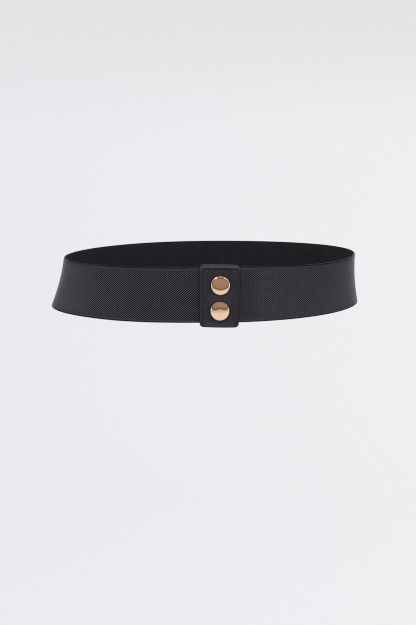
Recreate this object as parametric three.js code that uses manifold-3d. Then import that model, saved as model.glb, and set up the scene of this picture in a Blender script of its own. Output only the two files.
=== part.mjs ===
// An elastic waist belt, fastened. A woven elastic band runs round the waist in one piece. Its left end is
// sewn into a leather under tab and its right end into a leather top tab, which lies over the under tab.
// Two snaps join the tabs: each has a domed cap with a socket behind it, and a stud on the under tab.
// The two tabs are cut alike and the snaps lie halfway across them.
// Millimetres and degrees. +Z is up, the tabs are at -Y, and the origin is the centre of the waist opening.
import * as THREE from "three";
import { mergeVertices } from "three/addons/utils/BufferGeometryUtils.js";
import Module from "manifold-3d";

// Waist opening, from its centre to the elastic's inner face at mid height.
const waistHalfWidth = 117;
const waistHalfDepth = 94.3;

// Elastic band.
const elasticWidth = 40;
const elasticThickness = 1.5;
const elasticEase = 60; // stretch beyond the top tab in which the right end comes back to the body

// How the band follows the body, at turns counted from the tabs towards +X. Flare is the angle by which
// the band leans out at its lower edge. Hollow is how far its middle lies behind the line between its two
// edges, and drop how far it sits below the tabs, both as shares of its width.
const waistSections = [
  { turn: 0, flare: 6, hollow: -0.015, drop: 0 },
  { turn: 45, flare: -3.5, hollow: 0.03, drop: 0.02 },
  { turn: 90, flare: 5, hollow: 0.03, drop: 0 },
  { turn: 180, flare: 9, hollow: 0.03, drop: 0.02 },
  { turn: 270, flare: 15, hollow: 0.035, drop: 0.045 },
  { turn: 315, flare: 9.5, hollow: 0.03, drop: 0.02 },
];

// Snaps. The point midway between the two is placed from the front of the elastic's middle line.
const snapAcross = -0.5;
const snapUp = -2.2;
const capSpacing = 4.5; // between the edges of the two caps
const capRadius = 6.85;
const capDome = 0.45; // rise of the cap's middle above its rolled edge
const capRim = 0.75; // radius of the rolled edge
const barrelRadius = 2.8;
const socketRadius = 4.4;
const studBaseRadius = 5;
const studBaseThickness = 0.7;
const studPostRadius = 1.5;
const studFlangeRadius = 3.6;
const studFlangeThickness = 0.35;
const studHeadRadius = 1.75;
const studHeadHeight = 0.9;

// Leather tabs, both cut alike.
const leafThickness = 0.8;
const sewnDepth = 7.2; // how deep each end of the elastic sits in its tab
const foldWall = 0.8; // leather beyond the elastic's end
const foldSlope = 1; // stretch in which a tab thins from two leaves and elastic to two leaves
const socketRoom = 0.8; // between that slope and the sockets
const tabOverlap = 2.4; // how far the tabs reach beyond each edge of the elastic
const tabCorner = 2.8;
const tabArch = 0.25; // rise of the upper and lower edges in the middle
const tabTaper = 0.9; // how much narrower a tab is below than above
const tabSkew = 1.9; // how far the tabs lean to the right at the top
const edgeRound = 0.5;

// Side is where a tab holds the elastic, and up is how high the tab's middle lies.
const underTab = { side: -1, up: -0.3 };
const topTab = { side: 1, up: -1 };

// Clearances.
const pocketGap = 0.15; // elastic to the leaves on either face
const pocketSideGap = 0.2; // elastic to the pocket's end and sides
const tabGap = 0.2; // under tab to top tab
const seatGap = 0.3; // snaps to the leather under them
const holeGap = 0.3; // snaps to the holes they pass through, and stud to socket

// Mesh fineness.
const bandColumns = 112;
const bandRows = 6;
const tabColumns = 20;
const tabRows = 10;
const cornerSteps = 4;
const capSides = 40;
const studSides = 24;

// The layers of the two tabs, outwards from the elastic's inner face.
const underInner = -(pocketGap + leafThickness);
const underThinOuter = underInner + 2 * leafThickness;
const underThickOuter = elasticThickness + pocketGap + leafThickness;
const topThickInner = underThinOuter + tabGap;
const rightEndInner = topThickInner + leafThickness + pocketGap;
const topOuter = rightEndInner + elasticThickness + pocketGap + leafThickness;
const topThinInner = topOuter - 2 * leafThickness;

const tabHalfWidth = socketRadius + socketRoom + foldSlope + foldWall + sewnDepth;
const tabHalfHeight = elasticWidth / 2 + tabOverlap;
const snapPitch = 2 * capRadius + capSpacing;

const wasm = await Module();
wasm.setup();

const radians = THREE.MathUtils.degToRad;

// A column of waistSections at a turn from 0 to 360, eased between the rows on either side.
function sectionAt(turn, column) {
  const row = waistSections.findLastIndex((section) => section.turn <= turn);
  const here = waistSections[row];
  const next = waistSections[row + 1] ?? { ...waistSections[0], turn: 360 };
  const share = Math.sin(((turn - here.turn) / (next.turn - here.turn)) * (Math.PI / 2)) ** 2;
  return THREE.MathUtils.lerp(here[column], next[column], share);
}

// The waist oval's arc length from the tabs, in even steps of turn.
const ovalSteps = 1440;
const ovalLengths = [0];
for (let step = 1; step <= ovalSteps; step += 1) {
  const from = ovalPoint((360 * (step - 1)) / ovalSteps);
  const to = ovalPoint((360 * step) / ovalSteps);
  ovalLengths.push(ovalLengths[step - 1] + from.distanceTo(to));
}
const loopLength = ovalLengths[ovalSteps];

function ovalPoint(turn) {
  const angle = radians(turn);
  return new THREE.Vector2(waistHalfWidth * Math.sin(angle), -waistHalfDepth * Math.cos(angle));
}

// The turn, in degrees, at a length along the oval from the tabs.
function turnAt(along) {
  const wrapped = THREE.MathUtils.euclideanModulo(along, loopLength);
  let low = 0;
  let high = ovalSteps;
  while (high - low > 1) {
    const middle = (low + high) >> 1;
    if (ovalLengths[middle] <= wrapped) low = middle;
    else high = middle;
  }
  const share = (wrapped - ovalLengths[low]) / (ovalLengths[high] - ovalLengths[low]);
  return (360 * (low + share)) / ovalSteps;
}

// A place on the belt: along the loop from the tabs, up from the band's middle line, and out from the
// elastic's inner face. Gives the point and the direction that faces away from the body there.
function beltPlace(along, up, out) {
  const turn = turnAt(along);
  const angle = radians(turn);
  const base = ovalPoint(turn);
  const away = new THREE.Vector2(waistHalfDepth * Math.sin(angle), -waistHalfWidth * Math.cos(angle));
  away.normalize();
  const flare = radians(sectionAt(turn, "flare"));
  const hollow = sectionAt(turn, "hollow");
  const drop = sectionAt(turn, "drop") * elasticWidth;
  const down = -up / elasticWidth;
  const reach = elasticWidth * (Math.tan(flare) * down + 4 * hollow * (down * down - 1 / 12));
  const tilt = Math.atan(Math.tan(flare) + 8 * hollow * down);
  const facing = new THREE.Vector3(away.x * Math.cos(tilt), away.y * Math.cos(tilt), Math.sin(tilt));
  const point = new THREE.Vector3(base.x + away.x * reach, base.y + away.y * reach, up * Math.cos(flare) - drop);
  return { point: point.addScaledVector(facing, out), facing };
}

// A box with the given numbers of segments, each corner of which is moved to place(u, v, w), 0 to 1 each.
function wrappedBox(columns, rows, layers, place) {
  const geometry = new THREE.BoxGeometry(1, 1, 1, columns, rows, layers);
  const corners = geometry.getAttribute("position");
  for (let i = 0; i < corners.count; i += 1) {
    const moved = place(corners.getX(i) + 0.5, corners.getY(i) + 0.5, corners.getZ(i) + 0.5);
    corners.setXYZ(i, moved.x, moved.y, moved.z);
  }
  return geometry;
}

// How much longer a stretch of the loop is at a height on the flared front than along its middle line.
function frontSpread(up) {
  const frontRadius = waistHalfWidth ** 2 / waistHalfDepth;
  return 1 - (up * Math.tan(radians(waistSections[0].flare))) / frontRadius;
}

// Where a line of the tabs crosses a height of the band, as a length along the loop. The line lies across
// from the tabs' middle and leans with them.
function tabAlong(across, up) {
  return snapAcross + (across + (up - snapUp) * Math.tan(radians(tabSkew))) / frontSpread(up);
}

// How far the band's inner face stands out from the body, at a length along the loop.
function bandLift(along) {
  const edge = tabAlong(tabHalfWidth, 0);
  return rightEndInner * (1 - THREE.MathUtils.smoothstep(along, edge, edge + elasticEase));
}

function elasticBand() {
  return wrappedBox(bandColumns, bandRows, 1, (u, v, w) => {
    const up = elasticWidth * (v - 0.5);
    const start = tabAlong(topTab.side * (tabHalfWidth - sewnDepth), up);
    const end = loopLength + tabAlong(underTab.side * (tabHalfWidth - sewnDepth), up);
    const along = THREE.MathUtils.lerp(start, end, u);
    return beltPlace(along, up, bandLift(along) + elasticThickness * w).point;
  });
}

// The columns of a tab, close together in the rounded corners and even between: how far each lies across
// from the middle, and how high the tab reaches there.
function tabColumn(inset, share) {
  const half = tabHalfWidth - inset;
  const corner = tabCorner - inset;
  const step = share * tabColumns;
  const fromEdge = Math.min(step, tabColumns - step);
  const side = step <= tabColumns / 2 ? -1 : 1;
  const straight = Math.max(fromEdge - cornerSteps, 0) / (tabColumns / 2 - cornerSteps);
  const angle = (Math.min(fromEdge / cornerSteps, 1) * Math.PI) / 2;
  const across = side * ((half - corner) * (1 - straight) + corner * Math.cos(angle));
  const arch = tabArch * (across / half) ** 2;
  return { across, half: tabHalfHeight - inset - arch - corner * (1 - Math.sin(angle)) };
}

// A tab's blank: rounded corners, bevelled edges, and faces that step as layers(across) says.
function tabBlank(tab, layers) {
  const bevels = [0, edgeRound, -edgeRound, 0];
  const skew = radians(tabSkew);
  return wrappedBox(tabColumns, tabRows, bevels.length - 1, (u, v, w) => {
    const layer = Math.round(w * (bevels.length - 1));
    const column = tabColumn(bevels[layer] === 0 ? edgeRound : 0, u);
    const { inner, outer } = layers(column.across);
    const out = (w < 0.5 ? inner : outer) + bevels[layer];
    const across = column.across * (1 + (tabTaper / (2 * tabHalfWidth)) * (v - 0.5));
    const rise = column.half * (2 * v - 1);
    const up = tab.up + rise * Math.cos(skew) - across * Math.sin(skew);
    return beltPlace(tabAlong(across / Math.cos(skew), up), up, out).point;
  });
}

// 1 where a tab also holds the elastic and 0 where it is two leaves alone, with a slope between.
function holdsElastic(tab, across) {
  const fold = tabHalfWidth - sewnDepth - foldWall;
  return THREE.MathUtils.clamp((tab.side * across - fold) / foldSlope + 1, 0, 1);
}

const underLayers = (across) => ({
  inner: underInner,
  outer: THREE.MathUtils.lerp(underThinOuter, underThickOuter, holdsElastic(underTab, across)),
});

const topLayers = (across) => ({
  inner: THREE.MathUtils.lerp(topThinInner, topThickInner, holdsElastic(topTab, across)),
  outer: topOuter,
});

// The room that a tab's pocket leaves round the end of the elastic, running out past the tab's mouth.
function pocket(tab, elasticInner) {
  const end = tabHalfWidth - sewnDepth - pocketSideGap;
  const mouth = 2 * tabHalfWidth;
  const halfHeight = elasticWidth / 2 + pocketSideGap;
  return wrappedBox(tabColumns, tabRows, 1, (u, v, w) => {
    const across = tab.side * THREE.MathUtils.lerp(end, mouth, tab.side > 0 ? u : 1 - u);
    const up = halfHeight * (2 * v - 1);
    const out = elasticInner - pocketGap + (elasticThickness + 2 * pocketGap) * w;
    return beltPlace(tabAlong(across, up), up, out).point;
  });
}

function toSolid(geometry) {
  const bare = geometry.clone();
  bare.deleteAttribute("normal");
  bare.deleteAttribute("uv");
  const merged = mergeVertices(bare, 1e-4);
  const mesh = new wasm.Mesh({
    numProp: 3,
    vertProperties: new Float32Array(merged.attributes.position.array),
    triVerts: new Uint32Array(merged.index.array),
  });
  return new wasm.Manifold(mesh);
}

function toGeometry(solid) {
  const mesh = solid.getMesh();
  const geometry = new THREE.BufferGeometry();
  geometry.setAttribute("position", new THREE.BufferAttribute(mesh.vertProperties, 3));
  geometry.setIndex(new THREE.BufferAttribute(mesh.triVerts, 1));
  geometry.computeVertexNormals();
  return geometry;
}

// The line of a snap: a point on the elastic's inner face and the direction out through both tabs.
// Side is 1 for the upper snap and -1 for the lower one.
function snapLine(side) {
  const up = snapUp + ((side * snapPitch) / 2) * Math.cos(radians(tabSkew));
  const { point, facing } = beltPlace(tabAlong(0, up), up, 0);
  const turn = new THREE.Quaternion().setFromUnitVectors(new THREE.Vector3(0, 1, 0), facing);
  return { point, facing, turn };
}

// A hole for a snap through a whole tab.
function snapHole(side, radius) {
  const { point, turn } = snapLine(side);
  const reach = 2 * (topOuter - underInner);
  const hole = new THREE.CylinderGeometry(radius, radius, reach, studSides);
  hole.applyQuaternion(turn);
  hole.translate(point.x, point.y, point.z);
  return toSolid(hole);
}

function leatherTab(blank, pocketRoom, holeRadius) {
  let tab = toSolid(blank).subtract(toSolid(pocketRoom));
  for (const side of [1, -1]) tab = tab.subtract(snapHole(side, holeRadius));
  return toGeometry(tab);
}

// Points of a quarter turn, from one direction to another, in degrees from the profile's radius axis.
function arc(centreRadius, centreOut, radius, from, to, steps) {
  return Array.from({ length: steps + 1 }, (_, i) => {
    const angle = radians(THREE.MathUtils.lerp(from, to, i / steps));
    return new THREE.Vector2(centreRadius + radius * Math.cos(angle), centreOut + radius * Math.sin(angle));
  });
}

const capBase = topOuter + seatGap;
const socketOuter = topThinInner - seatGap;
const flangeInner = underThinOuter + seatGap;
const flangeOuter = flangeInner + studFlangeThickness;
const headOuter = flangeOuter + studHeadHeight;
const socketInner = flangeOuter + holeGap;

// A snap's cap: a shallow dome with a rolled edge, a barrel through the top tab and the socket behind it.
function snapCap() {
  const domeSteps = 5;
  const edge = arc(capRadius - capRim, capBase + capRim, capRim, -90, 50, 6);
  const shoulder = edge[edge.length - 1];
  const dome = Array.from({ length: domeSteps }, (_, i) => {
    const share = 1 - (i + 1) / domeSteps;
    return new THREE.Vector2(shoulder.x * share, shoulder.y + capDome * (1 - share * share));
  });
  const profile = [
    new THREE.Vector2(0, headOuter + holeGap),
    new THREE.Vector2(studHeadRadius + holeGap, headOuter + holeGap),
    new THREE.Vector2(studHeadRadius + holeGap, socketInner),
    new THREE.Vector2(socketRadius, socketInner),
    new THREE.Vector2(socketRadius, socketOuter),
    new THREE.Vector2(barrelRadius, socketOuter),
    new THREE.Vector2(barrelRadius, capBase),
    ...edge,
    ...dome,
  ];
  return new THREE.LatheGeometry(profile, capSides);
}

// A snap's stud: a round base against the body, a post through the under tab, and a head in the socket.
function snapStud() {
  const baseOuter = underInner - seatGap;
  const round = studBaseThickness / 2;
  const profile = [
    new THREE.Vector2(0, baseOuter - studBaseThickness),
    ...arc(studBaseRadius - round, baseOuter - round, round, -90, 90, 4),
    new THREE.Vector2(studPostRadius, baseOuter),
    new THREE.Vector2(studPostRadius, flangeInner),
    new THREE.Vector2(studFlangeRadius, flangeInner),
    new THREE.Vector2(studFlangeRadius, flangeOuter),
    new THREE.Vector2(studHeadRadius, flangeOuter),
    new THREE.Vector2(studHeadRadius, headOuter),
    new THREE.Vector2(0, headOuter),
  ];
  return new THREE.LatheGeometry(profile, studSides);
}

const elasticLook = new THREE.MeshStandardMaterial({ color: 0x1b1b1e, roughness: 0.85 });
const leatherLook = new THREE.MeshStandardMaterial({ color: 0x19191b, roughness: 0.5 });
const goldLook = new THREE.MeshStandardMaterial({ color: 0xe2b88c, roughness: 0.15, metalness: 1 });

function piece(name, geometry, look) {
  const mesh = new THREE.Mesh(geometry, look);
  mesh.name = name;
  return mesh;
}

function snapPiece(name, geometry, side) {
  const mesh = piece(name, geometry, goldLook);
  const { point, turn } = snapLine(side);
  mesh.position.copy(point);
  mesh.quaternion.copy(turn);
  return mesh;
}

const belt = new THREE.Group();
belt.add(piece("elastic_band", elasticBand(), elasticLook));
const underBlank = tabBlank(underTab, underLayers);
const topBlank = tabBlank(topTab, topLayers);
const underTabBody = leatherTab(underBlank, pocket(underTab, 0), studPostRadius + holeGap);
const topTabBody = leatherTab(topBlank, pocket(topTab, rightEndInner), barrelRadius + holeGap);
belt.add(piece("under_tab", underTabBody, leatherLook));
belt.add(piece("top_tab", topTabBody, leatherLook));
belt.add(snapPiece("snap_cap_upper", snapCap(), 1));
belt.add(snapPiece("snap_cap_lower", snapCap(), -1));
belt.add(snapPiece("snap_stud_upper", snapStud(), 1));
belt.add(snapPiece("snap_stud_lower", snapStud(), -1));

export default belt;
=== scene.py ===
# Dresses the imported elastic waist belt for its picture: woven elastic, two stitched leather tabs, two snaps.
# Metres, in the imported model's frame. +Z is up and the tabs are at -Y.
import math

import bpy
import numpy as np
from mathutils import Matrix, Vector


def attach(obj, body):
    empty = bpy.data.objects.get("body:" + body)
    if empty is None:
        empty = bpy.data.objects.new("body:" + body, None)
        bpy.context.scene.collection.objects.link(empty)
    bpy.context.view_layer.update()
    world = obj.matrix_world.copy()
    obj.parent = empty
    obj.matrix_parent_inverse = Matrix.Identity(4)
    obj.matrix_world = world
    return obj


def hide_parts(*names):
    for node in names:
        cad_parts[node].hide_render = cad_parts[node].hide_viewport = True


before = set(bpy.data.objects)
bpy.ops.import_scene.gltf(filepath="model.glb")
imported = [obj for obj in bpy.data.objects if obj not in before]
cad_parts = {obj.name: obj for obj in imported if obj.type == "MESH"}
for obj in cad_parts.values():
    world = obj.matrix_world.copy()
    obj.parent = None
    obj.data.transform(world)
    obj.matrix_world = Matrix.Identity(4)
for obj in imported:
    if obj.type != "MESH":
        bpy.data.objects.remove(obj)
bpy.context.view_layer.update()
print("frame loaded:", ", ".join(sorted(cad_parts)))

mm = 0.001
joinWithin = 1e-7  # points closer than this become one


# Wraps a socket, so that an expression on values adds its Math nodes.
class Value:
    def __init__(self, finish, socket):
        self.finish = finish
        self.socket = socket

    def __add__(self, other):
        return self.finish.maths("ADD", self, other)

    def __radd__(self, other):
        return self.finish.maths("ADD", other, self)

    def __sub__(self, other):
        return self.finish.maths("SUBTRACT", self, other)

    def __rsub__(self, other):
        return self.finish.maths("SUBTRACT", other, self)

    def __mul__(self, other):
        return self.finish.maths("MULTIPLY", self, other)

    def __rmul__(self, other):
        return self.finish.maths("MULTIPLY", other, self)

    def __pow__(self, other):
        return self.finish.maths("POWER", self, other)

    def __abs__(self):
        return self.finish.maths("ABSOLUTE", self)


class Finish:
    def __init__(self, name):
        self.material = bpy.data.materials.new(name)
        self.material.use_nodes = True
        self.tree = self.material.node_tree
        self.tree.nodes.clear()

    # One node: its settings first, then the values or links of its sockets, by name or number.
    def node(self, kind, settings=None, sockets=None, output=0):
        made = self.tree.nodes.new(kind)
        for name, value in (settings or {}).items():
            setattr(made, name, value)
        for name, value in (sockets or {}).items():
            if isinstance(value, Value):
                self.tree.links.new(value.socket, made.inputs[name])
            else:
                made.inputs[name].default_value = value
        return Value(self, made.outputs[output]) if len(made.outputs) else made

    def maths(self, operation, *values):
        return self.node("ShaderNodeMath", {"operation": operation}, dict(enumerate(values)))

    # 0 below low and 1 above high, eased between.
    def mapped(self, value, low, high):
        sockets = {"Value": value, "From Min": low, "From Max": high}
        return self.node("ShaderNodeMapRange", {"interpolation_type": "SMOOTHSTEP"}, sockets)

    # 1 below low and 0 above high.
    def fading(self, value, low, high):
        return 1 - self.mapped(value, low, high)

    # 0 to 1 and back over each period of a length.
    def wave(self, length, period):
        return 0.5 + 0.5 * self.maths("COSINE", length * (2 * math.pi / period))

    def mixed(self, share, first, second):
        sockets = {0: share, 6: colour4(first), 7: colour4(second)}  # the factor and the two colours
        return self.node("ShaderNodeMix", {"data_type": "RGBA"}, sockets, 2)

    def noise(self, where, scale, detail=2.0, rough=0.5):
        sockets = {"Vector": where, "Scale": scale, "Detail": detail, "Roughness": rough}
        return self.node("ShaderNodeTexNoise", None, sockets)

    def bump(self, height, distance, strength):
        return self.node("ShaderNodeBump", None, {"Height": height, "Distance": distance, "Strength": strength})

    # The three parts of a vector.
    def parts(self, vector):
        first = self.node("ShaderNodeSeparateXYZ", None, {0: vector})
        return [Value(self, output) for output in first.socket.node.outputs]

    def objectPlace(self):
        return self.node("ShaderNodeTexCoord", output=3)

    def uvPlace(self, uvName):
        return self.node("ShaderNodeUVMap", {"uv_map": uvName})

    def surface(self, sockets):
        shader = self.node("ShaderNodeBsdfPrincipled", None, sockets)
        self.node("ShaderNodeOutputMaterial", None, {"Surface": shader})
        return self.material


def colour4(colour):
    return (*colour, 1.0) if isinstance(colour, tuple) and len(colour) == 3 else colour


# The belt's form, as in the part's source.
waist = {
    "halfWidth": 117 * mm, "halfDepth": 94.3 * mm,
    # turn from the tabs, flare, hollow, drop
    "sections": [(0, 6, -0.015, 0), (45, -3.5, 0.03, 0.02), (90, 5, 0.03, 0), (180, 9, 0.03, 0.02),
                 (270, 15, 0.035, 0.045), (315, 9.5, 0.03, 0.02), (360, 6, -0.015, 0)],
}
band = {"width": 40 * mm, "thickness": 1.5 * mm, "ease": 60 * mm}
tabs = {
    "halfWidth": 14.2 * mm, "halfHeight": 22.4 * mm, "corner": 2.8 * mm, "arch": 0.25 * mm, "taper": 0.9 * mm,
    "skew": 1.9, "sewn": 7.2 * mm, "fold": 0.8 * mm, "slope": 1.0 * mm,
    "pocketGap": 0.15 * mm, "pocketSide": 0.2 * mm,
    "least": 0.15 * mm, "blend": 0.6 * mm,  # what a leaf keeps over the pocket, and how soon it gets there
    "holeFrom": -4 * mm, "holeTo": 8 * mm,  # the snaps' holes are cut through all layers
}
snaps = {"across": -0.5 * mm, "up": -2.2 * mm, "pitch": 18.2 * mm}

# Layers of the tabs, outwards from the elastic's inner face.
layer = {"underInner": -0.95 * mm, "underThin": 0.65 * mm, "underThick": 2.45 * mm, "topThick": 0.85 * mm,
         "rightEnd": 1.8 * mm, "topThin": 2.65 * mm, "topOuter": 4.25 * mm}

turnSteps = np.linspace(0, 360, 1441)  # quarters of a degree
ovalX = waist["halfWidth"] * np.sin(np.radians(turnSteps))
ovalY = -waist["halfDepth"] * np.cos(np.radians(turnSteps))
ovalLengths = np.concatenate([[0], np.cumsum(np.hypot(np.diff(ovalX), np.diff(ovalY)))])
loopLength = ovalLengths[-1]
skew = math.radians(tabs["skew"])


# From 0 to 1, eased at both ends.
def smoothed(share):
    share = np.clip(share, 0, 1)
    return share * share * (3 - 2 * share)


def sectionAt(turn, column):
    rows = np.array(waist["sections"], float)
    index = np.clip(np.searchsorted(rows[:, 0], turn, "right") - 1, 0, len(rows) - 2)
    share = (turn - rows[index, 0]) / (rows[index + 1, 0] - rows[index, 0])
    eased = np.sin(share * math.pi / 2) ** 2
    return rows[index, column] * (1 - eased) + rows[index + 1, column] * eased


# Along the loop from the tabs, up from the band's middle line and out from the elastic's inner face.
def beltPlace(along, up, out):
    along, up, out = np.broadcast_arrays(np.asarray(along, float), up, out)
    turn = np.interp(np.mod(along, loopLength), ovalLengths, turnSteps)
    angle = np.radians(turn)
    base = np.stack([waist["halfWidth"] * np.sin(angle), -waist["halfDepth"] * np.cos(angle)], -1)
    away = np.stack([waist["halfDepth"] * np.sin(angle), -waist["halfWidth"] * np.cos(angle)], -1)
    away /= np.linalg.norm(away, axis=-1, keepdims=True)
    flare, hollow, drop = (sectionAt(turn, column) for column in (1, 2, 3))
    flare = np.radians(flare)
    down = -up / band["width"]
    reach = band["width"] * (np.tan(flare) * down + 4 * hollow * (down * down - 1 / 12))
    tilt = np.arctan(np.tan(flare) + 8 * hollow * down)
    facing = np.stack([away[..., 0] * np.cos(tilt), away[..., 1] * np.cos(tilt), np.sin(tilt)], -1)
    flat = base + away * reach[..., None]
    height = up * np.cos(flare) - drop * band["width"]
    return np.concatenate([flat, height[..., None]], -1) + facing * out[..., None], facing


def frontSpread(up):
    return 1 - up * math.tan(math.radians(waist["sections"][0][1])) / (waist["halfWidth"] ** 2 / waist["halfDepth"])


def tabAlong(across, up):
    return snaps["across"] + (across + (up - snaps["up"]) * math.tan(skew)) / frontSpread(up)


def bandLift(along):
    edge = tabAlong(tabs["halfWidth"], 0)
    return layer["rightEnd"] * (1 - smoothed((along - edge) / band["ease"]))


# Makes a mesh object from points and faces. Points that coincide are joined, and faces that vanish left out.
def meshPiece(name, points, faces, material, uvs=None, uvName="weave", smooth=40, marks=None, second=None):
    keys = np.round(points / joinWithin).astype(np.int64)
    _, first, where = np.unique(keys, axis=0, return_index=True, return_inverse=True)
    where = where.ravel()
    kept, keptMarks = [], []
    for number, face in enumerate(faces):
        ring = []
        for corner in face:
            if not ring or where[corner] != where[ring[-1]]:
                ring.append(corner)
        if len(ring) > 1 and where[ring[0]] == where[ring[-1]]:
            ring.pop()
        if len(set(where[c] for c in ring)) >= 3:
            kept.append(ring)
            keptMarks.append(0 if marks is None else marks[number])
    mesh = bpy.data.meshes.new(name)
    mesh.from_pydata(points[first].tolist(), [], [[int(where[c]) for c in ring] for ring in kept])
    if uvs is not None:
        layerOf = mesh.uv_layers.new(name=uvName)
        flat = np.array([c for ring in kept for c in ring])
        layerOf.data.foreach_set("uv", uvs[flat].astype(np.float32).ravel())
    mesh.materials.append(material)
    if second is not None:
        mesh.materials.append(second)
        mesh.polygons.foreach_set("material_index", keptMarks)
    mesh.validate()
    mesh.shade_smooth()
    mesh.set_sharp_from_angle(angle=math.radians(smooth))
    piece = bpy.data.objects.new(name, mesh)
    bpy.context.scene.collection.objects.link(piece)
    return piece


# Quads of a grid of rows by columns whose corners are numbered row by row.
def gridFaces(rows, columns, flip=False, closeRows=False):
    faces = []
    for row in range(rows if closeRows else rows - 1):
        below = (row + 1) % rows
        for column in range(columns - 1):
            corner = row * columns + column
            other = below * columns + column
            quad = [corner, corner + 1, other + 1, other]
            faces.append(quad[::-1] if flip else quad)
    return faces


camera = {
    "place": (-0.0908, -0.9456, 0.13308), "heading": 5.5, "pitch": 9.677, "roll": -0.165,
    "lens": 45.93, "sensor": 24.0,  # the sensor's long side, which is the picture's height
    "clip": (0.01, 60),
}


def makeCamera():
    heading, pitch, roll = (math.radians(camera[name]) for name in ("heading", "pitch", "roll"))
    forward = Vector((math.sin(heading) * math.cos(pitch), math.cos(heading) * math.cos(pitch), -math.sin(pitch)))
    right = Vector((math.cos(heading), -math.sin(heading), 0))
    upright = right.cross(forward)
    rolledRight = right * math.cos(roll) + upright * math.sin(roll)
    rolledUp = upright * math.cos(roll) - right * math.sin(roll)
    lens = bpy.data.cameras.new("camera")
    lens.sensor_fit = "AUTO"
    lens.sensor_width = camera["sensor"]
    lens.lens = camera["lens"]
    lens.clip_start, lens.clip_end = camera["clip"]
    eye = bpy.data.objects.new("camera", lens)
    turned = Matrix((rolledRight, rolledUp, -forward)).transposed().to_4x4()
    eye.matrix_world = Matrix.Translation(camera["place"]) @ turned
    bpy.context.scene.collection.objects.link(eye)
    bpy.context.scene.camera = eye


makeCamera()
print("camera placed")


elastic = {
    "rib": 1.93 * mm, "ribRise": 1.62 * mm,  # a rib's spacing along the band and up it
    "relief": 0.24 * mm, "knuckle": (0.9, 0.35),  # how deep each rib is nicked, at the right end and at the left
    "weaveHalf": 17.8 * mm, "columnsPerRib": 4,
    # the grooves' colour is painted shade, and the yarn's colour on the crests carries a painted highlight
    "grooveShade": (0.0001, 0.0001, 0.0002), "yarnAndHighlight": (0.100, 0.0980, 0.117), "selvedge": (0.0205, 0.0203, 0.0245),
    "edge": (0.0050, 0.0050, 0.0062), "line": (0.0300, 0.0295, 0.0350), "inside": (0.0130, 0.0128, 0.0152),
    "roughness": 0.8, "sheen": 0.40, "sheenRoughness": 0.22, "sheenTint": (0.9, 0.92, 1.0, 1.0), "specular": 0.03,
    "ends": (0.25, 0.45),  # metres along, where the right end's weave turns into the left end's
    "cross": 0.42, "crossLess": 0.34,  # the crossing ribs' share, and how much less it is at the left
    "sharp": 4.3, "sharper": 1.5,  # how narrow the crests are, and how much more so at the left
    # round the sides the ribs are flatter, and the weave is painted calmer and lighter, a painted sheen: places are
    # from the middle of each side
    "sideFlat": 42 * mm, "sideStart": 90 * mm, "leftShift": 12 * mm,
    "sideCalm": 0.5, "leftCalm": 0.16, "sidePaintedLight": 0.135, "leftPaintedLight": 0.035,
    "sideRows": 0.08, "waver": 0.24 * mm, "waverPitch": 7.5 * mm,
    "leftPaintedSheen": 0.16, "leftPaintedSheenEnd": (95 * mm, 128 * mm),
    "tabShadow": (12 * mm, 36 * mm), "tabShadowDark": 0.32,
    "cloudDark": 0.16, "rightPale": 0.14,  # how much the cloudiness and the right end take off the weave's depth
    "lineInner": (18.2 * mm, 18.6 * mm), "lineOuter": (18.8 * mm, 19.2 * mm), "edgeFrom": (18.9 * mm, 19.6 * mm),
    "bump": 0.16 * mm, "endFade": 6 * mm, "sideRelief": 0.35,
    "flat": (0.585, 0.04),  # the sheet's size off the waist
}


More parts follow.
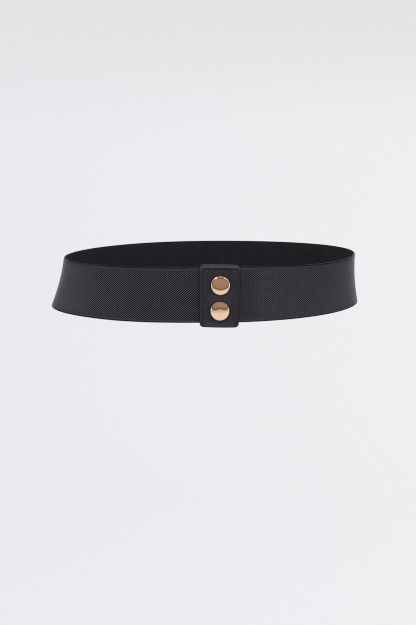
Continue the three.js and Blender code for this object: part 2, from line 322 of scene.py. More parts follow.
def elasticFinish():
    finish = Finish("elasticWeave")
    place = finish.uvPlace("weave")
    along, up, _ = finish.parts(place)
    lean = elastic["rib"] / elastic["ribRise"]
    rib = finish.wave(along - up * lean, elastic["rib"])
    cross = finish.wave(along + up * lean, elastic["rib"])
    rows = finish.wave(up, elastic["ribRise"])
    fromMiddle = abs(up)
    inWeave = finish.fading(fromMiddle, elastic["weaveHalf"] - 0.5 * mm, elastic["weaveHalf"] + 0.3 * mm)
    # the ribs run one way at the left end, and cross more evenly at the right
    leftEnd = finish.mapped(along, *elastic["ends"])
    crossShare = elastic["cross"] - leftEnd * elastic["crossLess"]
    sharp = elastic["sharp"] + leftEnd * elastic["sharper"]
    crest = (rib ** sharp) * (1 - crossShare) * (0.76 + rows * 0.24) + (cross ** sharp) * crossShare
    # round the sides fine wavering rows show between the flatter ribs, and the weave is painted calmer and lighter
    # there, more so on the left, as painted sheen
    onLeft = finish.mapped(along, loopLength / 2 - 1 * mm, loopLength / 2 + 1 * mm)
    fromSide = abs(abs(along - loopLength / 2) - loopLength / 4 + onLeft * elastic["leftShift"])
    side = finish.fading(fromSide, elastic["sideFlat"], elastic["sideStart"])
    waver = finish.maths("SINE", along * (2 * math.pi / elastic["waverPitch"])) * elastic["waver"]
    sideRows = finish.wave(up + waver, elastic["ribRise"])
    tone = elastic["sidePaintedLight"] + onLeft * elastic["leftPaintedLight"] + sideRows * elastic["sideRows"]
    crest = crest * (1 - side * (elastic["sideCalm"] + onLeft * elastic["leftCalm"])) + tone * side
    # painted sheen: the weave on the left side is painted lighter still
    crest = crest * (1 + onLeft * finish.fading(fromSide, *elastic["leftPaintedSheenEnd"]) * elastic["leftPaintedSheen"])
    # painted shadow: the weave is painted darker beside the tab on the right, where the tab casts its shadow
    tabShadow = finish.fading(along, *elastic["tabShadow"]) * elastic["tabShadowDark"]
    cloud = finish.noise(place, 60, 3)
    stretched = finish.node("ShaderNodeVectorMath", {"operation": "MULTIPLY"}, {0: place, 1: (1, 2.4, 1)})
    fibre = finish.noise(stretched, 3800, 2)
    depth = (1 - elastic["rightPale"]) + leftEnd * elastic["rightPale"]
    depth = depth - finish.mapped(cloud, 0.35, 0.75) * elastic["cloudDark"]
    # the ribs are the weave's own pattern; their colour runs from painted shade in the grooves to a painted highlight
    # on the crests
    shade = (crest * depth + (1 - depth) * 0.25) * (1 - tabShadow)
    woven = finish.mixed(shade, elastic["grooveShade"], elastic["yarnAndHighlight"])
    # a lighter thread runs along each selvedge, inside its dark edge
    lineThread = finish.mapped(fromMiddle, *elastic["lineInner"]) * finish.fading(fromMiddle, *elastic["lineOuter"])
    plain = finish.mixed(lineThread, elastic["selvedge"], elastic["line"])
    plain = finish.mixed(finish.mapped(fromMiddle, *elastic["edgeFrom"]), plain, elastic["edge"])
    edgeHeight = finish.wave(up, 0.62 * mm) * 0.25 + fibre * 0.3
    height = (crest + fibre * 0.35) * inWeave + edgeHeight * (1 - inWeave)
    return finish.surface({
        "Base Color": finish.mixed(inWeave, plain, woven), "Roughness": elastic["roughness"],
        "Specular IOR Level": elastic["specular"], "Sheen Weight": elastic["sheen"],
        "Sheen Roughness": elastic["sheenRoughness"], "Sheen Tint": elastic["sheenTint"],
        "Normal": finish.bump(height, elastic["bump"], 0.5),
    })


# The inner face is flatter: only the fine rows of the weave show there. Its colour is painted darker, partly a
# plainer back and partly painted shade inside the loop.
def insideFinish():
    finish = Finish("elasticInsideShaded")
    place = finish.uvPlace("weave")
    along, up, _ = finish.parts(place)
    rows = finish.wave(up, elastic["ribRise"] / 2) * finish.wave(along, elastic["rib"] / 2)
    cloud = finish.noise(place, 60, 3)
    darker, paler = (tuple(share * part for part in elastic["inside"]) for share in (0.5, 1.5))
    colour = finish.mixed(rows * 0.6 + cloud * 0.3, darker, paler)
    return finish.surface({
        "Base Color": colour, "Roughness": elastic["roughness"], "Specular IOR Level": elastic["specular"],
        "Normal": finish.bump(rows, 0.1 * mm, 0.5),
    })


def makeElastic():
    lean = elastic["rib"] / elastic["ribRise"]
    half = band["width"] / 2
    thick = band["thickness"]
    # The section's outline: height, depth share from the inner face, and whether it carries the ribs.
    rowCount = int(round(2 * elastic["weaveHalf"] / (elastic["ribRise"] / 2)))
    heights = np.linspace(-elastic["weaveHalf"], elastic["weaveHalf"], rowCount + 1)
    woven = [(up, 1.0, 2 if row % 2 else 1) for row, up in enumerate(heights)]
    edge = [(half, 0.5, 0), (half - 0.12 * mm, 0.86, 0), (half - 0.5 * mm, 0.985, 0),
            (half - 1.1 * mm, 0.965, 0), (half - 1.7 * mm, 0.955, 0)]
    outline = [(-up, out, 0) for up, out, _ in edge]
    outline += woven
    outline += [(up, out, 0) for up, out, _ in reversed(edge)]
    outerRows = len(outline)
    outline += [(half - 0.12 * mm, 0.14, 0), (half - 0.6 * mm, 0.01, 0)]
    outline += [(up, 0, 0) for up in (12 * mm, 4 * mm, -4 * mm, -12 * mm)]
    outline += [(-half + 0.6 * mm, 0.01, 0), (-half + 0.12 * mm, 0.14, 0)]
    up, outShare, kind = (np.array(column)[:, None] for column in zip(*outline))

    start = tabAlong(tabs["halfWidth"] - tabs["sewn"], up)
    end = loopLength + tabAlong(-(tabs["halfWidth"] - tabs["sewn"]), up)
    step = elastic["rib"] / elastic["columnsPerRib"]
    first = math.floor((float(start.min()) - half * lean) / step) - 1
    last = math.ceil((float(end.max()) + half * lean) / step) + 1
    index = np.arange(first, last + 1)[None, :]
    along = np.clip(index * step + up * lean, start, end)
    rib = 0.5 + 0.5 * np.cos(2 * math.pi * index / elastic["columnsPerRib"])
    nick = np.interp(along, elastic["ends"], elastic["knuckle"])
    raised = np.where(kind == 1, rib, np.where(kind == 2, rib * (1 - nick), 0.0))
    fade = np.clip(np.minimum(along - start, end - along) / elastic["endFade"], 0, 1)
    fromSide = np.abs(np.abs(along - loopLength / 2) - loopLength / 4)
    pastSide = np.clip((fromSide - elastic["sideFlat"]) / (elastic["sideStart"] - elastic["sideFlat"]), 0, 1)
    fade = fade * (elastic["sideRelief"] + (1 - elastic["sideRelief"]) * pastSide)
    sunk = elastic["relief"] * np.where(kind > 0, 1 - raised, 0.4 * (outShare > 0.9)) * fade
    fullUp = np.broadcast_to(up, along.shape)
    points, _ = beltPlace(along, fullUp, bandLift(along) + thick * outShare - sunk)
    rows, columns = along.shape
    faces = gridFaces(rows, columns, closeRows=True)
    marks = [1 if number // (columns - 1) >= outerRows else 0 for number in range(len(faces))] + [1, 1]
    faces.append([row * columns for row in range(rows)])
    faces.append([row * columns + columns - 1 for row in reversed(range(rows))])
    uvs = np.stack([along, fullUp], -1).reshape(-1, 2)
    piece = meshPiece("woven_elastic", points.reshape(-1, 3), faces, elasticFinish(), uvs,
                      smooth=75, marks=marks, second=insideFinish())
    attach(piece, "root")
    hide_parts("elastic_band")
    print("elastic woven:", len(piece.data.polygons), "faces")


makeElastic()


leather = {
    "grain": 0.55 * mm, "fine": 0.18 * mm, "bump": 0.05 * mm,
    # crease is the dark of the painted shade in the crease and along the stitching, and of the darker outline
    "hide": (0.0084, 0.0086, 0.0129), "wearAndPaintedLight": (0.0160, 0.0164, 0.0228), "crease": (0.0010, 0.0010, 0.0015),
    "roughness": 0.42, "specular": 0.21,
    # the top tab is painted paler between the snaps and under the lower one as painted light, with a painted
    # highlight along the rolled top edge
    "middleAt": -1.2 * mm, "middleTall": (2.5 * mm, 6 * mm), "middleWide": (5 * mm, 11 * mm), "middlePaintedLight": 0.7,
    "lowTall": (-19 * mm, -16.5 * mm), "lowWide": (8 * mm, 12 * mm), "lowPaintedLight": 0.9,
    "topFrom": (19.4 * mm, 20.2 * mm), "topTo": (21.6 * mm, 22.3 * mm), "topPaintedHighlight": 1.2,
}


# How far inside a rounded outline a point of the tab's own plan lies, as insideRound works it out.
def insideShader(finish, across, rise, inset, corner):
    left, right, top, bottom = (value * mm for value in inset)
    halfX = tabs["halfWidth"] - (left + right) / 2 - corner
    halfY = tabs["halfHeight"] - (top + bottom) / 2 - corner
    awayX = abs(across - (left - right) / 2) - halfX
    awayY = abs(rise - (bottom - top) / 2) - halfY
    outX, outY = (finish.maths("MAXIMUM", away, 0.0) for away in (awayX, awayY))
    outside = finish.maths("SQRT", outX * outX + outY * outY)
    return corner - outside - finish.maths("MINIMUM", finish.maths("MAXIMUM", awayX, awayY), 0.0)


def leatherFinish(name, crease=None, corner=0.0, stitch=None):
    finish = Finish(name)
    place = finish.objectPlace()
    across, rise, _ = finish.parts(finish.uvPlace("plan"))
    sockets = {"Vector": place, "Scale": 1 / leather["grain"], "Randomness": 1.0}
    grain = finish.node("ShaderNodeTexVoronoi", {"feature": "F1"}, sockets)
    fine = finish.noise(place, 1 / leather["fine"], 3, 0.6)
    cloud = finish.noise(place, 160, 3)
    gloss = leather["roughness"] + (cloud - 0.5) * 0.14 + (fine - 0.5) * 0.1
    wearAndPaintedLight = finish.mapped(cloud, 0.42, 0.72) * 0.4
    if crease is not None:
        # painted light: paler between the snaps and under the lower one, and a painted highlight on the rolled top
        # edge
        middle = finish.fading(abs(rise - leather["middleAt"]), *leather["middleTall"])
        middle = middle * finish.fading(abs(across), *leather["middleWide"])
        low = finish.fading(rise, *leather["lowTall"]) * finish.fading(abs(across), *leather["lowWide"])
        top = finish.mapped(rise, *leather["topFrom"]) * finish.fading(rise, *leather["topTo"])
        wearAndPaintedLight = wearAndPaintedLight + middle * leather["middlePaintedLight"] + low * leather["lowPaintedLight"] + top * leather["topPaintedHighlight"]
        # painted shade: the paler tone is taken off towards the tab's right side
        wearAndPaintedLight = finish.maths("MINIMUM", wearAndPaintedLight - finish.mapped(across, 7 * mm, 11 * mm) * 0.3, 1.0)
        gloss = gloss - top * 0.08
    colour = finish.mixed(wearAndPaintedLight, leather["hide"], leather["wearAndPaintedLight"])
    if crease is not None:
        line = abs(insideShader(finish, across, rise, crease, corner))
        # painted shade in the crease at the rim's step: darkest at the top, and darker at the right than at the left
        weight = 0.35 + 0.65 * finish.mapped(rise, 17 * mm, 20 * mm) + 0.3 * finish.mapped(across, 10 * mm, 12.2 * mm)
        creaseShade = finish.fading(line, 0.2 * mm, 0.9 * mm) * finish.maths("MINIMUM", weight, 1.0)
        colour = finish.mixed(creaseShade, colour, leather["crease"])
    fromEdge = insideShader(finish, across, rise, (0, 0, 0, 0), tabs["corner"])
    colour = finish.mixed(finish.fading(fromEdge, 0.15 * mm, 0.6 * mm) * 0.6, colour, leather["crease"])
    if stitch is not None:
        # painted shade along the stitching's channel
        line = abs(insideShader(finish, across, rise, stitch, stitchCorner))
        colour = finish.mixed(finish.fading(line, 0.3 * mm, 0.8 * mm) * 0.45, colour, leather["crease"])
    return finish.surface({
        "Base Color": colour, "Roughness": gloss, "Specular IOR Level": leather["specular"],
        "Normal": finish.bump(grain * -0.6 + fine * 0.4, leather["bump"], 0.5),
    })


def threadFinish():
    finish = Finish("blackThread")
    strand = finish.noise(finish.objectPlace(), 1 / (0.12 * mm), 2)
    colour = finish.mixed(strand, stitching["dark"], stitching["pale"])
    return finish.surface({
        "Base Color": colour, "Roughness": 0.62, "Specular IOR Level": 0.2, "Sheen Weight": 0.03,
        "Sheen Roughness": 0.4, "Normal": finish.bump(strand, 0.05 * mm, 0.6),
    })


# Rounded corners as the source has them: how high a column reaches, and where columns and rows lie.
def tabColumns():
    corner = tabs["corner"]
    flat = tabs["halfWidth"] - corner
    turned = flat + corner * np.sin(np.radians(np.linspace(90, 0, 15)[:-1]))
    close = np.arange(flat, flat - 2.6 * mm, -0.22 * mm)
    outer = np.concatenate([turned, close])
    inner = np.linspace(-close[-1], close[-1], 38)[1:-1]
    return np.concatenate([-outer, inner, outer[::-1]])


def tabReach(across):
    corner = tabs["corner"]
    over = np.clip(np.abs(across) - (tabs["halfWidth"] - corner), 0, corner)
    arch = tabs["arch"] * (across / tabs["halfWidth"]) ** 2
    return tabs["halfHeight"] - corner + np.sqrt(np.maximum(corner ** 2 - over ** 2, 0)) - arch


def tabRows():
    close = np.concatenate([[0, 0.05, 0.12, 0.22, 0.34, 0.48], np.arange(0.65, 5.4, 0.2)]) * mm
    inner = np.linspace(close[-1] - tabs["halfHeight"], tabs["halfHeight"] - close[-1], 62)[1:-1]
    rows = np.concatenate([-tabs["halfHeight"] + close, inner, (tabs["halfHeight"] - close)[::-1]])
    return rows / tabs["halfHeight"]


# The same height as if the upper and lower edges weren't arched, so that creases and seams keep to them.
def levelled(across, rise):
    return rise + tabs["arch"] * (across / tabs["halfWidth"]) ** 2 * rise / tabs["halfHeight"]


# How far inside a rounded outline a point lies, when the outline is moved in by a different amount on each side.
def insideRound(across, rise, inset, corner):
    left, right, top, bottom = (value * mm for value in inset)
    middleX, middleY = (left - right) / 2, (bottom - top) / 2
    halfX = tabs["halfWidth"] - (left + right) / 2
    halfY = tabs["halfHeight"] - (top + bottom) / 2
    awayX = np.abs(across - middleX) - (halfX - corner)
    awayY = np.abs(rise - middleY) - (halfY - corner)
    outside = np.hypot(np.maximum(awayX, 0), np.maximum(awayY, 0))
    return corner - outside - np.minimum(np.maximum(awayX, awayY), 0)


def tabPlace(middleUp, across, rise, out):
    wide = across * (1 + tabs["taper"] / (2 * tabs["halfWidth"]) * rise / (2 * tabs["halfHeight"]))
    up = middleUp + rise * math.cos(skew) - wide * math.sin(skew)
    return beltPlace(tabAlong(wide / math.cos(skew), up), up, out)


# A closed box of a grid's own places: us, vs and ws are its steps in three directions.
def closedBox(us, vs, ws, place):
    shape = (len(ws), len(vs), len(us))
    w, v, u = np.meshgrid(ws, vs, us, indexing="ij")
    points = place(u, v, w)
    number = np.arange(u.size).reshape(shape)
    quads = []
    for grid, flip in ((number[0], True), (number[-1], False), (number[:, 0], False),
                       (number[:, -1], True), (number[:, :, 0], True), (number[:, :, -1], False)):
        a, b, c, d = grid[:-1, :-1], grid[:-1, 1:], grid[1:, 1:], grid[1:, :-1]
        quad = np.stack([a, b, c, d], -1).reshape(-1, 4)
        quads.append(quad[:, ::-1] if flip else quad)
    return points.reshape(-1, points.shape[-1]), np.concatenate(quads).tolist()


def cutAway(piece, cutter):
    modifier = piece.modifiers.new("cut", "BOOLEAN")
    modifier.operation = "DIFFERENCE"
    modifier.solver = "EXACT"
    modifier.object = cutter
    graph = bpy.context.evaluated_depsgraph_get()
    cut = bpy.data.meshes.new_from_object(piece.evaluated_get(graph))
    piece.modifiers.clear()
    old = piece.data
    piece.data = cut
    bpy.data.meshes.remove(old)
    bpy.data.objects.remove(cutter)


def snapMatrix(side):
    up = snaps["up"] + side * snaps["pitch"] / 2 * math.cos(skew)
    point, facing = (Vector(part) for part in beltPlace(tabAlong(0, up), up, 0))
    turn = Vector((0, 1, 0)).rotation_difference(facing)
    return Matrix.Translation(point) @ turn.to_matrix().to_4x4()


def makeTab(name, form, material):
    columns, shares, layers = tabColumns(), tabRows(), np.linspace(0, 1, 4)
    end = tabs["halfWidth"] - tabs["sewn"] - tabs["pocketSide"]
    tall = band["width"] / 2 + tabs["pocketSide"]
    least = form["elasticInner"] + band["thickness"] + tabs["pocketGap"] + tabs["least"]
    fold = tabs["halfWidth"] - tabs["sewn"] - tabs["fold"]

    def place(across, v, w):
        rise = tabReach(across) * v
        holds = smoothed((form["side"] * across - fold) / tabs["slope"] + 1)
        inner = form["innerThin"] + (form["innerThick"] - form["innerThin"]) * holds
        outer = form["outerThin"] + (form["outerThick"] - form["outerThin"]) * holds
        even = levelled(across, rise)
        depth = insideRound(across, even, (0, 0, 0, 0), tabs["corner"])
        high = outer + form["outerFace"](across, even, depth)
        up = form["up"] + rise * math.cos(skew) - across * math.sin(skew)
        overPocket = np.clip((tall - np.abs(up)) / tabs["blend"] + 1, 0, 1)
        overPocket = overPocket * np.clip((form["side"] * across - end) / tabs["blend"] + 1, 0, 1)
        high = high + np.maximum(least - high, 0) * overPocket
        low = np.minimum(inner - form["innerFace"](across, even, depth), high - tabs["least"])
        return tabPlace(form["up"], across, rise, low + (high - low) * w)[0]

    def planPlace(across, v, w):
        return np.stack([across, levelled(across, tabReach(across) * v)], -1)

    points, faces = closedBox(columns, shares, layers, place)
    plan, _ = closedBox(columns, shares, layers, planPlace)
    piece = meshPiece(name, points, faces, material, plan, "plan", smooth=50)

    deep = band["thickness"] + 2 * tabs["pocketGap"]
    acrossPocket = np.sort(form["side"] * np.linspace(end, 2 * tabs["halfWidth"], 24))

    def pocketPlace(u, v, w):
        return beltPlace(tabAlong(u, v), v, form["elasticInner"] - tabs["pocketGap"] + deep * w)[0]

    pocket = closedBox(acrossPocket, np.linspace(-tall, tall, 24), np.array([0.0, 1.0]), pocketPlace)
    cutAway(piece, meshPiece(name + "_pocket", *pocket, material))
    low, high = tabs["holeFrom"], tabs["holeTo"]
    hole = [(0, low), (form["hole"], low), (form["hole"], high), (0, high)]
    for side in (1, -1):
        cutAway(piece, latheSolid(name + "_hole", hole, 48, snapMatrix(side), material))
    piece.data.shade_smooth()
    piece.data.set_sharp_from_angle(angle=math.radians(62))
    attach(piece, "root")
    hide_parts(name)
    print(name, "made:", len(piece.data.polygons), "faces")
    return piece


# A closed turned solid about its own Y axis, placed by a matrix. The outline goes from the axis back to it.
def latheSolid(name, outline, sides, matrix, material, smooth=40):
    points, faces = [], []
    for radius, out in outline:
        for side in range(sides):
            angle = 2 * math.pi * side / sides
            points.append((radius * math.cos(angle), out, radius * math.sin(angle)))
    count = len(outline)
    for ring in range(count - 1):
        low, high = ring * sides, (ring + 1) * sides
        for side in range(sides):
            after = (side + 1) % sides
            faces.append([low + side, high + side, high + after, low + after])
    points = np.array([tuple(matrix @ Vector(point)) for point in points])
    return meshPiece(name, points, faces, material, smooth=smooth)


# Height of a face over its plain level, by how far inside the edge it lies, in mm.
def rolled(depth, profile):
    places, heights = zip(*profile)
    return np.interp(depth / mm, places, heights) * mm


topTabUp = -1.0 * mm  # its middle, from the band's middle line
topTabForm = {
    # insets are in mm, at the left, right, top and bottom
    "rim": (1.8, 1.25, 2.5, 1.9), "rimCorner": 1.5 * mm, "stepHalf": 0.28 * mm,
    "topFrom": 17.5 * mm, "topOver": 2.5 * mm,  # where the rim turns into the top's more sloping one
    "panel": 0.04 * mm, "soft": 0.04 * mm,  # the recessed panel, and its slight unevenness
    "dish": 0.26 * mm, "dishFrom": 6.2 * mm, "dishOver": 3.4 * mm,  # how far the snaps pull the panel in
    "stitchInset": (3.1, 2.3, 4.9, 4.1), "channel": 0.13 * mm, "channelWide": 0.55 * mm,
}
# Heights over the tab's level by how far inside the edge, in mm: the rim's back slopes more along the top.
rimProfile = [(0, -0.8), (0.06, -0.52), (0.16, -0.32), (0.32, -0.12), (0.55, 0.1), (0.85, 0.24), (1.2, 0.28),
              (2.4, 0.28), (30, 0.28)]
topRimProfile = [(0, -1.25), (0.05, -1.14), (0.15, -1.05), (0.4, -0.92), (0.75, -0.7), (1.2, -0.36),
                 (1.65, 0.02), (2.05, 0.3), (2.35, 0.38), (30, 0.38)]
plainProfile = [(0, -0.6), (0.06, -0.36), (0.16, -0.2), (0.35, -0.06), (0.6, 0), (30, 0)]
underTabForm = {"stitchInset": (3.1, 3.1, 3.4, 3.4), "channel": 0.12 * mm, "channelWide": 0.5 * mm}
stitchCorner = 0.6 * mm


def topOuterFace(across, rise, depth):
    high = smoothed((rise - topTabForm["topFrom"]) / topTabForm["topOver"])
    rim = rolled(depth, rimProfile) * (1 - high) + rolled(depth, topRimProfile) * high
    fromRim = insideRound(across, rise, topTabForm["rim"], topTabForm["rimCorner"])
    inside = smoothed(fromRim / topTabForm["stepHalf"] * 0.5 + 0.5)
    fromStitch = insideRound(across, rise, topTabForm["stitchInset"], stitchCorner)
    channel = -topTabForm["channel"] * np.exp(-(fromStitch / topTabForm["channelWide"]) ** 2)
    soft = topTabForm["soft"] * np.sin(across / (5.3 * mm) + 0.6) * np.cos(rise / (7.1 * mm) + 0.4)
    dish = 0
    for side in (1, -1):
        up = snaps["up"] - topTabUp + side * snaps["pitch"] / 2
        fromSnap = np.hypot(across, rise - up)
        away = smoothed((fromSnap - topTabForm["dishFrom"]) / topTabForm["dishOver"])
        dish = np.minimum(dish, (away - 1) * topTabForm["dish"])
    return rim * (1 - inside) + (topTabForm["panel"] + channel + soft + dish) * inside


def underInnerFace(across, rise, depth):
    fromStitch = insideRound(across, rise, underTabForm["stitchInset"], stitchCorner)
    channel = underTabForm["channel"] * np.exp(-(fromStitch / underTabForm["channelWide"]) ** 2)
    return rolled(depth, plainProfile) - channel


def plainFace(across, rise, depth):
    return rolled(depth, plainProfile)


stitching = {
    "pitch": 3.7 * mm, "length": 2.95 * mm, "halfWidth": 0.4 * mm, "halfHeight": 0.2 * mm,
    "sink": 0.34 * mm, "rise": 0.03 * mm,  # how far its ends dip into the leather and its middle stands out
    "rings": 9, "sides": 8, "dark": (0.008, 0.008, 0.0115), "pale": (0.021, 0.021, 0.027),
}
thread = threadFinish()
topTab = {
    "side": 1, "up": topTabUp, "innerThin": layer["topThin"], "innerThick": layer["topThick"],
    "outerThin": layer["topOuter"], "outerThick": layer["topOuter"], "elasticInner": layer["rightEnd"],
    "outerFace": topOuterFace, "innerFace": plainFace, "hole": 3.1 * mm,
}
underTab = {
    "side": -1, "up": -0.3 * mm, "innerThin": layer["underInner"], "innerThick": layer["underInner"],
    "outerThin": layer["underThin"], "outerThick": layer["underThick"], "elasticInner": 0.0,
    "outerFace": plainFace, "innerFace": underInnerFace, "hole": 1.8 * mm,
}
topLeather = leatherFinish("topTabLeather", topTabForm["rim"], topTabForm["rimCorner"], topTabForm["stitchInset"])
makeTab("top_tab", topTab, topLeather).name = "top_tab_leather"
makeTab("under_tab", underTab, leatherFinish("underTabLeather", stitch=underTabForm["stitchInset"])).name = "under_tab_leather"


# The two ends of each stitch, side after side, on a tab's own plan.
def stitchRun(inset):
    left, right, top, bottom = (value * mm for value in inset)
    wide, tall = tabs["halfWidth"], tabs["halfHeight"]
    corners = [(-wide + left, -tall + bottom), (wide - right, -tall + bottom),
               (wide - right, tall - top), (-wide + left, tall - top)]
    places = []
    for start, end in zip(corners, corners[1:] + corners[:1]):
        length = math.dist(start, end)
        count = max(1, round(length / stitching["pitch"]))
        step = length / count
        for stitch in range(count):
            middle = (stitch + 0.5) / count
            half = (step - (stitching["pitch"] - stitching["length"])) / 2 / length
            a, b = middle - half, middle + half
            places.append([tuple(s + (e - s) * t for s, e in zip(start, end)) for t in (a, b)])
    return places


def makeStitches(name, form, inset, face, level, outward):
    points, faces = [], []
    rings, sides = stitching["rings"], stitching["sides"]
    for start, end in stitchRun(inset):
        start, end = np.array(start), np.array(end)
        direction = (end - start) / np.linalg.norm(end - start)
        aside = np.array([-direction[1], direction[0]])
        for ring in range(rings):
            share = ring / (rings - 1)
            middle = start + (end - start) * share
            bow = 1 - (2 * share - 1) ** 4
            slim = max(0.25, math.sqrt(max(1 - (2 * share - 1) ** 6, 0)))
            depth = insideRound(middle[0], middle[1], (0, 0, 0, 0), tabs["corner"])
            ground = float(face(np.array(middle[0]), np.array(middle[1]), depth))
            arch = tabs["arch"] * (middle[0] / tabs["halfWidth"]) ** 2 * middle[1] / tabs["halfHeight"]
            centre = ground + stitching["rise"] * bow - stitching["sink"] * (1 - bow)
            for side in range(sides):
                angle = 2 * math.pi * side / sides
                place = middle + aside * stitching["halfWidth"] * slim * math.cos(angle)
                lift = centre + stitching["halfHeight"] * slim * math.sin(angle)
                points.append(tabPlace(form["up"], place[0], place[1] - arch, level + outward * lift)[0])
        base = len(points) - rings * sides
        for ring in range(rings - 1):
            low, high = base + ring * sides, base + (ring + 1) * sides
            for side in range(sides):
                after = (side + 1) % sides
                faces.append([low + side, low + after, high + after, high + side])
        faces.append([base + side for side in range(sides)][::-1])
        faces.append([base + (rings - 1) * sides + side for side in range(sides)])
    if outward < 0:
        faces = [face[::-1] for face in faces]
    piece = meshPiece(name, np.array(points).reshape(-1, 3), faces, thread, smooth=70)
    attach(piece, "root")
    print(name, "sewn:", len(stitchRun(inset)), "stitches")


makeStitches("top_tab_stitches", topTab, topTabForm["stitchInset"], topOuterFace, layer["topOuter"], 1)
makeStitches("under_tab_stitches", underTab, underTabForm["stitchInset"], underInnerFace, layer["underInner"], -1)


snapForm = {
    "capRadius": 6.85 * mm, "capRim": 0.75 * mm, "capDome": 0.62 * mm, "crown": 3.0,  # its power: higher is flatter
    "barrel": 2.8 * mm, "socket": 4.4 * mm, "base": 5.0 * mm, "baseThick": 0.7 * mm, "post": 1.5 * mm,
    "flange": 3.6 * mm, "flangeThick": 0.35 * mm,
    "head": 1.75 * mm, "headHigh": 0.9 * mm, "seat": 0.3 * mm, "hole": 0.3 * mm,
    "lowerTip": 1.35,  # how far the lower cap sits tipped down, in degrees
    "mouthEase": 0.15 * mm, "socketEase": 0.2 * mm, "flangeEase": 0.1 * mm, "headEase": 0.25 * mm,
    "capSides": 96, "studSides": 64, "domeSteps": 20, "smooth": 28,
    "gold": (0.83, 0.60, 0.43), "deep": (0.74, 0.50, 0.35), "roughness": 0.035,
}


def goldFinish():
    finish = Finish("paleGold")
    place = finish.objectPlace()
    cloud = finish.noise(place, 420, 3)
    fine = finish.noise(place, 5200, 2)
    colour = finish.mixed(finish.mapped(cloud, 0.35, 0.75) * 0.35, snapForm["gold"], snapForm["deep"])
    gloss = snapForm["roughness"] + cloud * 0.06 + fine * 0.04
    return finish.surface({
        "Base Color": colour, "Metallic": 1.0, "Roughness": gloss,
        "Normal": finish.bump(fine, 0.0015 * mm, 0.3),
    })


def arcPoints(centreRadius, centreOut, radius, start, end, steps):
    turns = [math.radians(start + (end - start) * step / steps) for step in range(steps + 1)]
    return [(centreRadius + radius * math.cos(turn), centreOut + radius * math.sin(turn)) for turn in turns]


def makeSnaps():
    form = snapForm
    capBase = layer["topOuter"] + form["seat"]
    socketOuter = layer["topThin"] - form["seat"]
    flangeInner = layer["underThin"] + form["seat"]
    flangeOuter = flangeInner + form["flangeThick"]
    headOuter = flangeOuter + form["headHigh"]
    socketInner = flangeOuter + form["hole"]
    rim = arcPoints(form["capRadius"] - form["capRim"], capBase + form["capRim"], form["capRim"], -90, 46, 14)
    shoulder = rim[-1]
    dome = []
    for step in range(1, form["domeSteps"] + 1):
        share = 1 - step / form["domeSteps"]
        dome.append((shoulder[0] * share, shoulder[1] + form["capDome"] * (1 - share ** form["crown"])))
    inner = form["head"] + form["hole"]
    cap = [(0, headOuter + form["hole"]), (inner, headOuter + form["hole"])]
    ease = form["mouthEase"]
    cap += [(inner, socketInner + ease), (inner + ease, socketInner)]
    ease = form["socketEase"]
    cap += arcPoints(form["socket"] - ease, socketInner + ease, ease, -90, 0, 4)
    cap += arcPoints(form["socket"] - ease, socketOuter - ease, ease, 0, 90, 4)
    cap += [(form["barrel"], socketOuter), (form["barrel"], capBase)]
    cap += rim + dome
    baseOuter = layer["underInner"] - form["seat"]
    rounded = form["baseThick"] / 2
    stud = [(0, baseOuter - form["baseThick"])]
    stud += arcPoints(form["base"] - rounded, baseOuter - rounded, rounded, -90, 90, 12)
    stud += [(form["post"], baseOuter), (form["post"], flangeInner)]
    ease = form["flangeEase"]
    stud += arcPoints(form["flange"] - ease, flangeInner + ease, ease, -90, 0, 3)
    stud += arcPoints(form["flange"] - ease, flangeOuter - ease, ease, 0, 90, 3)
    stud += [(form["head"] - 0.05 * mm, flangeOuter)]  # a slight undercut, where the socket grips
    ease = form["headEase"]
    stud += arcPoints(form["head"] - ease, headOuter - ease, ease, 0, 90, 6)
    stud += [(0, headOuter)]
    gold = goldFinish()
    for word, side, degrees in (("upper", 1, 0), ("lower", -1, form["lowerTip"])):
        matrix = snapMatrix(side)
        middle = matrix @ Vector((0, capBase, 0))
        tip = Matrix.Rotation(math.radians(degrees), 4, "X")
        tipped = Matrix.Translation(middle) @ tip @ Matrix.Translation(-middle) @ matrix
        for kind, outline, place in (("cap", cap, tipped), ("stud", stud, matrix)):
            piece = latheSolid(f"gold_{kind}_{word}", outline, form[kind + "Sides"], place, gold, form["smooth"])
            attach(piece, "root")
            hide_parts(f"snap_{kind}_{word}")
    print("snaps turned")


makeSnaps()


studio = {
    "world": (0.86, 0.855, 0.875), "worldStrength": 1.16,
    "edgeSoftness": 1.1,  # pixels; the photograph is crisp
    "floorDrop": 1.05, "radius": 2.6, "sweep": 1.2, "wallTop": 3.4, "sides": 72,
    "paint": (0.2, 0.2, 0.2), "pale": (0.575, 0.566, 0.605), "paleRight": (0.632, 0.632, 0.650),
    "paleFront": (0.76, 0.755, 0.765), "paleTop": (0.53, 0.528, 0.54),
    # metres between which each tone takes over: across, from the front, and up and back for the top
    "acrossFrom": (-1.6, 1.8), "frontTo": (-2.5, -0.5), "topFrom": (-0.05, 0.6), "topBack": (0.0, 2.0),
    "sideTop": 2.0, "sideLeft": 1.0, "sideRight": 1.5,  # how much brighter the walls to the left and right are
    "wallFrom": (1.7, 2.6), "wallUp": (-0.9, 0.2),
    "cardPlace": (0.15, -1.3, 0.285), "cardSize": (1.32, 0.69), "cardCorner": 3.0, "cardSteps": 48,
    "card": (0.34, 0.265, 0.22), "cardRim": (0.13, 0.095, 0.08), "cardFade": (0.22, 0.65),
    "dimWide": 0.6, "dimTall": 0.5, "dim": (0.34, 0.25, 0.205), "dimOverlap": 0.04,
    "blushHalf": 0.8, "blushTop": -0.055, "blushTall": 0.10, "blushOverlap": 0.03,
    "blush": (0.72, 0.52, 0.46), "blushLow": (0.77, 0.77, 0.78), "cardsApart": 0.01,
    "keyPower": 10.0, "keyPlace": (-0.55, -1.3, 1.25), "keySize": (0.9, 0.9),
    "topPower": 9.0, "topPlace": (0.15, -0.75, 1.1), "topSize": (1.2, 0.6), "lampsAim": (0, -0.08, 0),
}


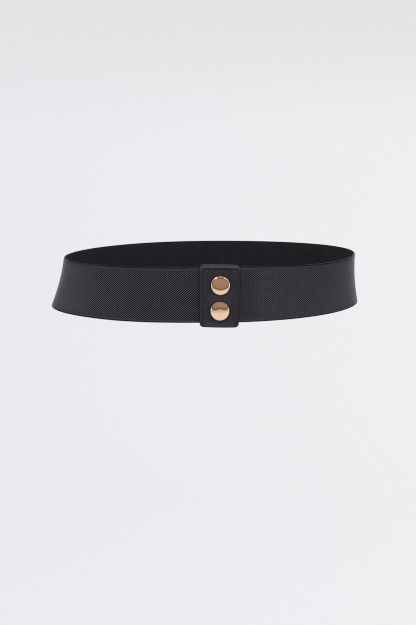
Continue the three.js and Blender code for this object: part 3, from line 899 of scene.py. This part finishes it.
def makeRoom():
    world = bpy.data.worlds.new("paleRoom")
    world.use_nodes = True
    background = world.node_tree.nodes["Background"]
    background.inputs["Color"].default_value = (*studio["world"], 1)
    background.inputs["Strength"].default_value = studio["worldStrength"]
    bpy.context.scene.world = world
    bpy.context.scene.view_settings.view_transform = "Standard"
    bpy.context.scene.cycles.filter_width = studio["edgeSoftness"]

    # a round floor that sweeps up into the backdrop on every side; it glows and so lights the belt, painted light
    # that is brighter on the walls to the left and right as soft side lights
    drop, radius, sweep = studio["floorDrop"], studio["radius"], studio["sweep"]
    outline = [(radius * share / 6, -drop) for share in range(1, 7)]
    for turn in range(6, 91, 6):
        angle = math.radians(turn)
        outline.append((radius + sweep * math.sin(angle), -drop + sweep * (1 - math.cos(angle))))
    outline += [(radius + sweep, studio["wallTop"])]
    sides = studio["sides"]
    angles = np.linspace(0, 2 * math.pi, sides + 1)
    points = [(away * math.cos(angle), away * math.sin(angle), high) for away, high in outline for angle in angles]
    faces = gridFaces(len(outline), sides + 1, flip=True) + [list(range(sides))]
    floor = Finish("glowingFloor")
    across, away, up = floor.parts(floor.objectPlace())
    tone = floor.mixed(floor.mapped(across, *studio["acrossFrom"]), studio["pale"], studio["paleRight"])
    tone = floor.mixed(floor.fading(away, *studio["frontTo"]), tone, studio["paleFront"])
    upper = floor.mapped(up, *studio["topFrom"]) * floor.mapped(away, *studio["topBack"])
    tone = floor.mixed(upper, tone, studio["paleTop"])
    near, far = studio["wallFrom"]
    left = floor.fading(across, -far, -near) * (studio["sideLeft"] / studio["sideTop"])
    right = floor.mapped(across, near, far) * (studio["sideRight"] / studio["sideTop"])
    side = (left + right) * floor.mapped(up, *studio["wallUp"])
    meshPiece("floor_sweep", np.array(points), faces, floor.surface({
        "Base Color": (*studio["paint"], 1), "Roughness": 0.9, "Specular IOR Level": 0.0,
        "Emission Color": floor.mixed(side, tone, (studio["sideTop"],) * 3), "Emission Strength": 1.0,
    }))
    print("floor swept")


# A card that only gloss sees: it shapes the caps' reflections and lights nothing.
def makeCard(name, corners, finish, colour):
    material = finish.surface({"Base Color": colour, "Roughness": 1.0, "Specular IOR Level": 0.0})
    piece = meshPiece(name, np.array(corners), [list(range(len(corners)))[::-1]], material)
    piece.visible_camera = False
    piece.visible_diffuse = False
    piece.visible_shadow = False


def makeCards():
    x, y, z = studio["cardPlace"]
    halfWide, halfHigh = (size / 2 for size in studio["cardSize"])
    power = studio["cardCorner"]
    card = Finish("greyCard")
    across, _, up = card.parts(card.objectPlace())
    squareness = abs((across - x) * (1 / halfWide)) ** power + abs((up - z) * (1 / halfHigh)) ** power
    colour = card.mixed(card.mapped(squareness, *studio["cardFade"]), studio["card"], studio["cardRim"])
    corners = []
    for turn in np.linspace(0, 2 * math.pi, studio["cardSteps"], endpoint=False):
        reach = (abs(math.cos(turn)) ** power + abs(math.sin(turn)) ** power) ** (-1 / power)
        corners.append((x + halfWide * reach * math.cos(turn), y, z + halfHigh * reach * math.sin(turn)))
    makeCard("grey_card", corners, card, colour)

    def oblong(half, low, high):
        behind = y - studio["cardsApart"]
        return [(x + away, behind, level) for away, level in ((-half, low), (half, low), (half, high), (-half, high))]

    # a warm paler card under it
    blush = Finish("blushCard")
    low, high = studio["blushTop"] - studio["blushTall"], studio["blushTop"]
    up = blush.parts(blush.objectPlace())[2]
    colour = blush.mixed(blush.mapped(up, low, high), studio["blushLow"], studio["blush"])
    makeCard("blush_card", oblong(studio["blushHalf"], low, high + studio["blushOverlap"]), blush, colour)

    # a dim one over it, for the caps' top edges
    base, top = z + halfHigh - studio["dimOverlap"], z + halfHigh + studio["dimTall"]
    makeCard("dim_card", oblong(studio["dimWide"] / 2, base, top), Finish("dimCard"), (*studio["dim"], 1))
    print("reflection cards hung")


def makeLamps():
    for name in ("key", "top"):
        light = bpy.data.lights.new(name, "AREA")
        light.energy = studio[name + "Power"]
        light.shape = "RECTANGLE"
        light.size, light.size_y = studio[name + "Size"]
        lamp = bpy.data.objects.new(name, light)
        lamp.location = studio[name + "Place"]
        lamp.visible_camera = False
        lamp.rotation_mode = "QUATERNION"
        aim = Vector(studio["lampsAim"]) - Vector(studio[name + "Place"])
        lamp.rotation_quaternion = aim.to_track_quat("-Z", "Y")
        bpy.context.scene.collection.objects.link(lamp)
    print("studio lit")


makeRoom()
makeCards()
makeLamps()
print("belt dressed")
